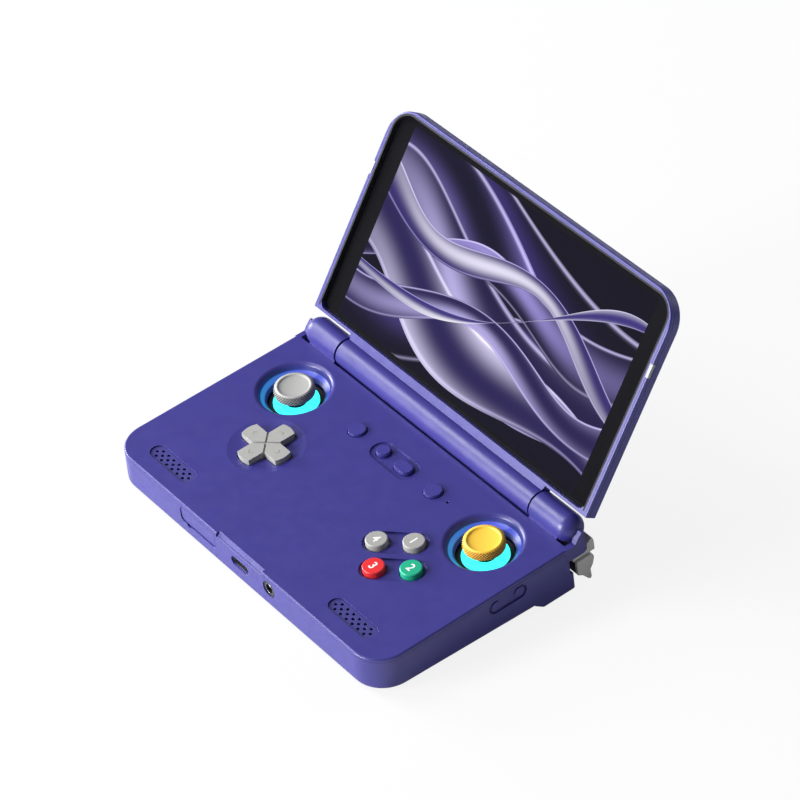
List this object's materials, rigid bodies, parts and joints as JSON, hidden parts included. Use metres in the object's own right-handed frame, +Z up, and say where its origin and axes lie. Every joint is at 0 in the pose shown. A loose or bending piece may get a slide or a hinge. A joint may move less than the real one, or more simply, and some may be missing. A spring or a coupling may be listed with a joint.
{
  "type": "clamshell handheld game console",
  "caption": "Clamshell handheld game console: hinged display lid, pitched base with thumb sticks, pad, buttons, triggers and ports.",
  "frame": {"origin": "on the table, under the middle of the box of the open console", "axes": "+X to the player's right along the hinge, +Y from the player to the hinge, +Z up"},
  "size_m": [0.142, 0.1256, 0.0924],
  "materials": {
    "indigo_plastic": "fine matte texture",
    "grey_plastic": "satin",
    "yellow_plastic": "satin",
    "red_plastic": "satin",
    "green_plastic": "satin",
    "glow_plastic": "translucent, lit",
    "black_plastic": "matte",
    "steel": "bright",
    "aluminium": "bare",
    "board": "solder mask",
    "cell_foil": "foil",
    "grey_rubber": "matte",
    "black_rubber": "matte",
    "display": "dark panel",
    "cover_glass": "polished, black margin"
  },
  "bodies": {
    "base": {"deck_shell": "indigo_plastic", "bottom_shell": "indigo_plastic", "left_speaker_grille": "indigo_plastic", "right_speaker_grille": "indigo_plastic", "left_speaker": "black_plastic", "right_speaker": "black_plastic", "main_board": "board", "battery": "cell_foil", "fan_housing": "black_plastic", "heat_sink": "aluminium", "usb_c_socket": "steel", "audio_jack": "black_plastic", "card_socket": "steel", "left_glow_ring": "glow_plastic", "right_glow_ring": "glow_plastic", "left_stick_base": "black_plastic", "right_stick_base": "black_plastic", "pad_membrane": "black_rubber", "face_membrane": "black_rubber", "key_membrane": "black_rubber", "shoulder_pins": "steel", "trigger_pins": "steel", "left_hinge_cartridge": "steel", "right_hinge_cartridge": "steel", "rubber_feet": "black_rubber", "case_screws": "steel"},
    "lid": {"lid_frame": "indigo_plastic", "lid_cover": "indigo_plastic", "display_panel": "display", "cover_glass": "cover_glass", "lid_buffers": "grey_rubber", "left_hinge_pin": "steel", "right_hinge_pin": "steel"},
    "fan": {"fan_rotor": "black_plastic"},
    "flap": {"card_flap": "indigo_plastic"},
    "left_yoke": {"left_stick_yoke": "black_plastic"},
    "left_stem": {"left_stick_stem": "steel"},
    "left_cap": {"left_stick_cap": "grey_plastic"},
    "right_yoke": {"right_stick_yoke": "black_plastic"},
    "right_stem": {"right_stick_stem": "steel"},
    "right_cap": {"right_stick_cap": "yellow_plastic"},
    "pad_ball": {"pad_pivot": "black_plastic"},
    "pad": {"direction_pad": "grey_plastic"},
    "north": {"north_button": "grey_plastic"},
    "east": {"east_button": "green_plastic"},
    "south": {"south_button": "red_plastic"},
    "west": {"west_button": "grey_plastic"},
    "left_function": {"left_key": "indigo_plastic"},
    "small_function": {"small_key": "indigo_plastic"},
    "oval_function": {"oval_key": "indigo_plastic"},
    "right_function": {"right_key": "indigo_plastic"},
    "rocker": {"volume_rocker": "indigo_plastic"},
    "left_shoulder": {"left_shoulder_button": "grey_plastic"},
    "left_pull": {"left_trigger": "grey_plastic"},
    "right_shoulder": {"right_shoulder_button": "grey_plastic"},
    "right_pull": {"right_trigger": "grey_plastic"}
  },
  "joints": [
    {"name": "lid_hinge", "type": "hinge", "parent": "base", "child": "lid", "pos_m": [0, 0.01798, 0.02157], "axis": [1, 0, 0], "range_deg": [-30, 124.9]},
    {"name": "fan_spin", "type": "hinge", "parent": "base", "child": "fan", "pos_m": [-0.01, -0.00028, 0.00832], "axis": [0, -0.0749, 0.9972], "continuous": true},
    {"name": "flap_hinge", "type": "hinge", "parent": "base", "child": "flap", "pos_m": [-0.0136, -0.06243, 0.00901], "axis": [0, -0.0749, 0.9972], "range_deg": [0, 100]},
    {"name": "left_stick_tilt_y", "type": "hinge", "parent": "base", "child": "left_yoke", "pos_m": [-0.05, -0.00335, 0.00909], "axis": [-1, 0, 0], "range_deg": [-11, 11], "stiffness_Nm_per_rad": 0.02},
    {"name": "left_stick_tilt_x", "type": "hinge", "parent": "left_yoke", "child": "left_stem", "pos_m": [-0.05, -0.00335, 0.00909], "axis": [0, 0.9972, 0.0749], "range_deg": [-11, 11], "stiffness_Nm_per_rad": 0.02},
    {"name": "left_stick_click", "type": "slide", "parent": "left_stem", "child": "left_cap", "axis": [0, 0.0749, -0.9972], "range_m": [0, 0.0004], "stiffness_N_per_m": 1500, "springref_m": -0.0006},
    {"name": "right_stick_tilt_y", "type": "hinge", "parent": "base", "child": "right_yoke", "pos_m": [0.05, -0.00335, 0.00909], "axis": [-1, 0, 0], "range_deg": [-11, 11], "stiffness_Nm_per_rad": 0.02},
    {"name": "right_stick_tilt_x", "type": "hinge", "parent": "right_yoke", "child": "right_stem", "pos_m": [0.05, -0.00335, 0.00909], "axis": [0, 0.9972, 0.0749], "range_deg": [-11, 11], "stiffness_Nm_per_rad": 0.02},
    {"name": "right_stick_click", "type": "slide", "parent": "right_stem", "child": "right_cap", "axis": [0, 0.0749, -0.9972], "range_m": [0, 0.0004], "stiffness_N_per_m": 1500, "springref_m": -0.0006},
    {"name": "pad_tilt_y", "type": "hinge", "parent": "base", "child": "pad_ball", "pos_m": [-0.0339, -0.02677, 0.01249], "axis": [1, 0, 0], "range_deg": [-3.5, 3.5], "stiffness_Nm_per_rad": 0.02},
    {"name": "pad_tilt_x", "type": "hinge", "parent": "pad_ball", "child": "pad", "pos_m": [-0.0339, -0.02677, 0.01249], "axis": [0, 0.9972, 0.0749], "range_deg": [-3.5, 3.5], "stiffness_Nm_per_rad": 0.02},
    {"name": "north_press", "type": "slide", "parent": "base", "child": "north", "axis": [0, 0.0749, -0.9972], "range_m": [0, 0.0008], "stiffness_N_per_m": 400, "springref_m": -0.0006},
    {"name": "east_press", "type": "slide", "parent": "base", "child": "east", "axis": [0, 0.0749, -0.9972], "range_m": [0, 0.0008], "stiffness_N_per_m": 400, "springref_m": -0.0006},
    {"name": "south_press", "type": "slide", "parent": "base", "child": "south", "axis": [0, 0.0749, -0.9972], "range_m": [0, 0.0008], "stiffness_N_per_m": 400, "springref_m": -0.0006},
    {"name": "west_press", "type": "slide", "parent": "base", "child": "west", "axis": [0, 0.0749, -0.9972], "range_m": [0, 0.0008], "stiffness_N_per_m": 400, "springref_m": -0.0006},
    {"name": "left_key_press", "type": "slide", "parent": "base", "child": "left_function", "axis": [0, 0.0749, -0.9972], "range_m": [0, 0.0005], "stiffness_N_per_m": 600, "springref_m": -0.0005},
    {"name": "small_key_press", "type": "slide", "parent": "base", "child": "small_function", "axis": [0, 0.0749, -0.9972], "range_m": [0, 0.0005], "stiffness_N_per_m": 600, "springref_m": -0.0005},
    {"name": "oval_key_press", "type": "slide", "parent": "base", "child": "oval_function", "axis": [0, 0.0749, -0.9972], "range_m": [0, 0.0005], "stiffness_N_per_m": 600, "springref_m": -0.0005},
    {"name": "right_key_press", "type": "slide", "parent": "base", "child": "right_function", "axis": [0, 0.0749, -0.9972], "range_m": [0, 0.0005], "stiffness_N_per_m": 600, "springref_m": -0.0005},
    {"name": "rocker_tilt", "type": "hinge", "parent": "base", "child": "rocker", "pos_m": [0.0694, -0.01134, 0.0127], "axis": [0, -0.0749, 0.9972], "range_deg": [-2, 2], "stiffness_Nm_per_rad": 0.02},
    {"name": "left_shoulder_press", "type": "hinge", "parent": "base", "child": "left_shoulder", "pos_m": [-0.041, 0.01785, 0.01399], "axis": [0, -0.0749, 0.9972], "range_deg": [0, 1], "stiffness_Nm_per_rad": 0.08, "springref_deg": -2.29},
    {"name": "left_trigger_pull", "type": "hinge", "parent": "base", "child": "left_pull", "pos_m": [-0.056, 0.01817, 0.0097], "axis": [1, 0, 0], "range_deg": [-8, 0], "stiffness_Nm_per_rad": 0.03, "springref_deg": 6.88},
    {"name": "right_shoulder_press", "type": "hinge", "parent": "base", "child": "right_shoulder", "pos_m": [0.041, 0.01785, 0.01399], "axis": [0, -0.0749, 0.9972], "range_deg": [-1, 0], "stiffness_Nm_per_rad": 0.08, "springref_deg": 2.29},
    {"name": "right_trigger_pull", "type": "hinge", "parent": "base", "child": "right_pull", "pos_m": [0.056, 0.01817, 0.0097], "axis": [1, 0, 0], "range_deg": [-8, 0], "stiffness_Nm_per_rad": 0.03, "springref_deg": 6.88}
  ]
}
